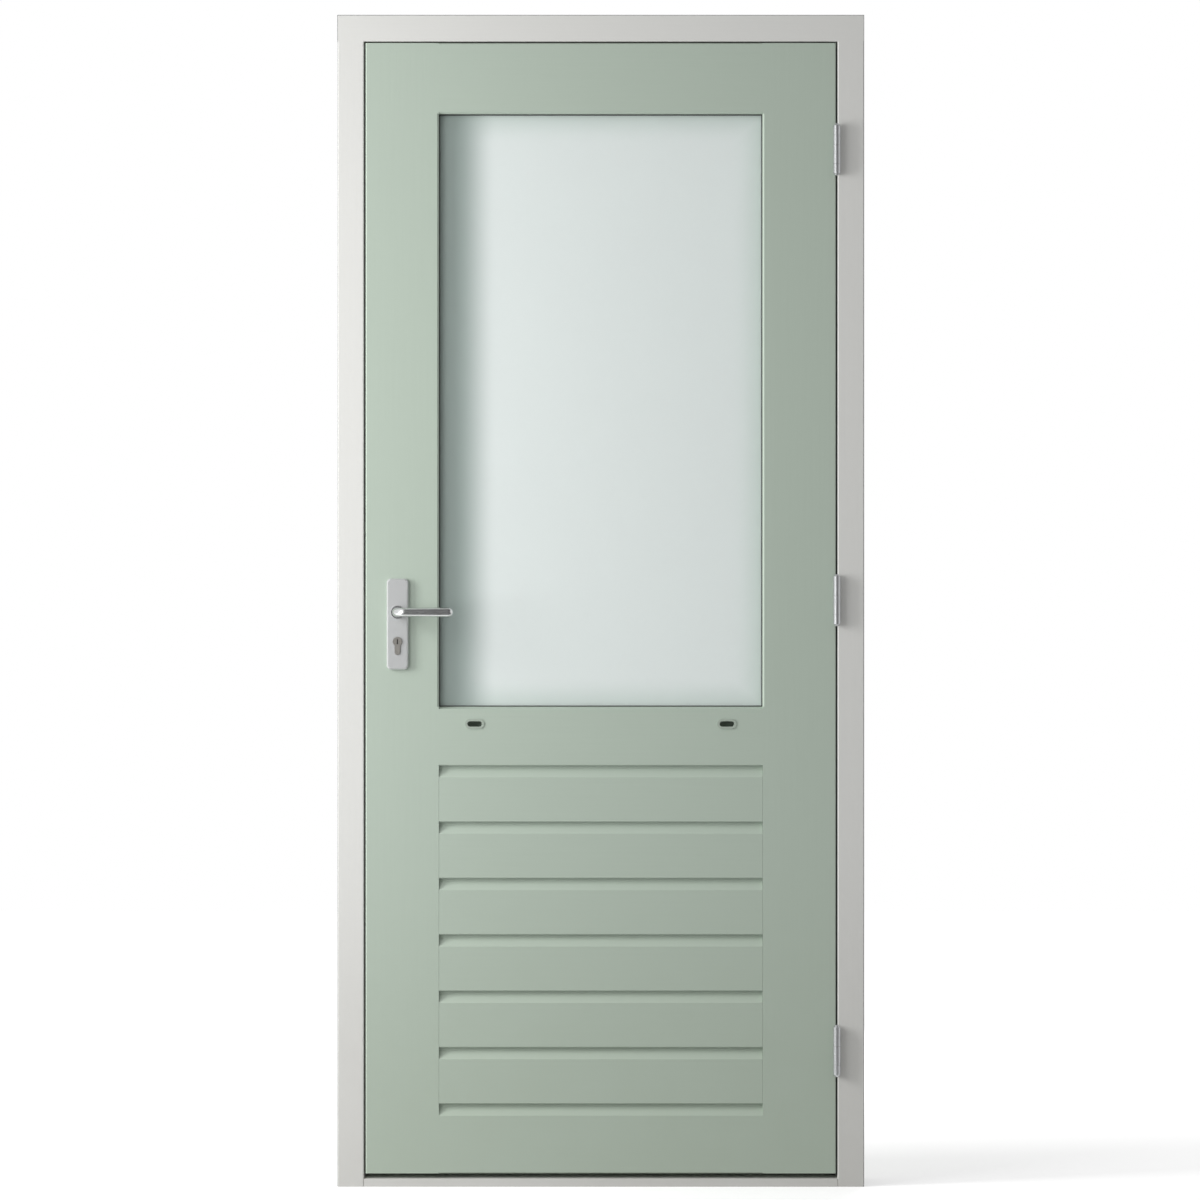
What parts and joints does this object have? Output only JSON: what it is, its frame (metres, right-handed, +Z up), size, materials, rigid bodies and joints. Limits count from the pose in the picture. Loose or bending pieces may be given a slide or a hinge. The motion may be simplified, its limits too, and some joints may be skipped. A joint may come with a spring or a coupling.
{
  "type": "half-glazed boarded door with frame",
  "caption": "Half-glazed outside door with a satin pane over horizontal boards, lever handle and lock, hung on butt hinges in a rebated timber frame.",
  "frame": {"origin": "middle of the frame's underside, at floor level", "axes": "+Z up, +X to the right seen from outside, -Y towards the outside"},
  "size_m": [0.986, 0.177, 2.193],
  "materials": {
    "sage_paint": "pale sage green paint, silk",
    "frame_paint": "white paint, silk",
    "satin_glass": "etched, hides what is behind it",
    "rubber": "matt",
    "steel": "brushed",
    "silver": "natural anodised, satin",
    "nickel": "nickel plated, satin",
    "vent_plastic": "matt"
  },
  "bodies": {
    "frame": {"hinge_jamb": "frame_paint", "lock_jamb": "frame_paint", "head": "frame_paint", "threshold": "frame_paint", "weather_seal": "rubber", "strike_plate": "steel", "strike_screws": "steel", "frame_hinge_plate_1": "steel", "frame_hinge_plate_2": "steel", "frame_hinge_plate_3": "steel", "hinge_pins": "steel", "frame_hinge_screws": "steel"},
    "handle": {"outer_lever": "silver", "inner_lever": "silver", "spindle": "steel", "follower": "steel"},
    "latch": {"latch_bolt": "steel"},
    "key": {"cylinder_plug": "nickel", "cylinder_cam": "steel", "thumb_turn": "nickel"},
    "bolt": {"dead_bolt": "steel"},
    "leaf": {"lock_stile": "sage_paint", "hinge_stile": "sage_paint", "top_rail": "sage_paint", "mid_rail": "sage_paint", "bottom_rail": "sage_paint", "board_1": "sage_paint", "board_2": "sage_paint", "board_3": "sage_paint", "board_4": "sage_paint", "board_5": "sage_paint", "board_6": "sage_paint", "bead_top": "sage_paint", "bead_bottom": "sage_paint", "bead_left": "sage_paint", "bead_right": "sage_paint", "outer_pane": "satin_glass", "inner_pane": "satin_glass", "outer_gasket": "rubber", "inner_gasket": "rubber", "setting_blocks": "rubber", "leaf_hinge_screws": "steel", "leaf_hinge_plate_1": "steel", "leaf_hinge_plate_2": "steel", "leaf_hinge_plate_3": "steel", "lock_case": "steel", "lock_cover": "steel", "forend": "steel", "forend_screws": "steel", "cylinder_screw": "steel", "plate_bolts": "steel", "outer_plate": "silver", "inner_plate": "silver", "pane_spacer": "silver", "cylinder_body": "nickel", "vent_left": "vent_plastic", "vent_right": "vent_plastic"}
  },
  "joints": [
    {"name": "leaf_swing", "type": "hinge", "parent": "frame", "child": "leaf", "pos_m": [0.4415, -0.0645, 1.0825], "axis": [0, 0, 1], "range_deg": [0, 110]},
    {"name": "handle_turn", "type": "hinge", "parent": "leaf", "child": "handle", "pos_m": [-0.38, -0.03, 1.075], "axis": [0, 1, 0], "range_deg": [0, 40], "stiffness_Nm_per_rad": 2, "springref_deg": -20.05},
    {"name": "latch_slide", "type": "slide", "parent": "leaf", "child": "latch", "axis": [1, 0, 0], "range_m": [0, 0.012]},
    {"name": "key_turn", "type": "hinge", "parent": "leaf", "child": "key", "pos_m": [-0.38, -0.03, 1.02], "axis": [0, -1, 0], "range_deg": [0, 360]},
    {"name": "bolt_slide", "type": "slide", "parent": "leaf", "child": "bolt", "axis": [-1, 0, 0], "range_m": [0, 0.02]}
  ],
  "couplings": [
    {"joint": "latch_slide", "follows": "handle_turn", "m_per_rad": 0.01718},
    {"joint": "key_turn", "follows": "bolt_slide", "rad_per_m": 314.15}
  ]
}
